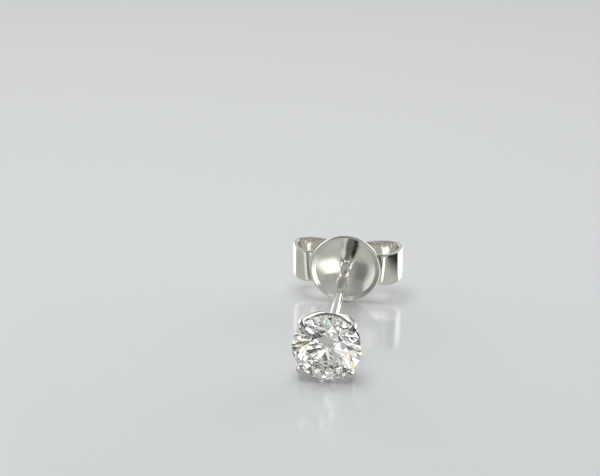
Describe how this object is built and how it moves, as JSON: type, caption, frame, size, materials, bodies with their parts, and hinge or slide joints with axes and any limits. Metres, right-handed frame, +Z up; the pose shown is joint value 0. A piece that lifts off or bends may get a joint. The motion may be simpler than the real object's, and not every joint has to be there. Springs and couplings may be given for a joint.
{
  "type": "stud earring",
  "caption": "Four-prong stud earring: a round brilliant in a curved wire basket on a straight post, with a sliding butterfly friction back.",
  "frame": {"origin": "centre of the box round the earring, on the surface that it lies on", "axes": "+Z up from the surface, +Y from the stone along the post to the back, +X to the right of a viewer who looks at the stone"},
  "size_m": [0.0074, 0.0152, 0.0048],
  "materials": {
    "stone": "clear brilliant-cut diamond, polished flat facets, colourless with small flashes of spectral colour",
    "setting_metal": "high-polished rhodium-plated white gold, smooth wire and post",
    "clutch_metal": "polished stamped white gold sheet with faint drawing and burnishing marks"
  },
  "bodies": {
    "stud": {"setting": "setting_metal", "stone": "stone"},
    "clutch": {"clutch": "clutch_metal"}
  },
  "joints": [
    {"name": "clutch_slide", "type": "slide", "parent": "stud", "child": "clutch", "axis": [0, 0.9995, 0.0326], "range_m": [-0.0076, 0.003]}
  ]
}
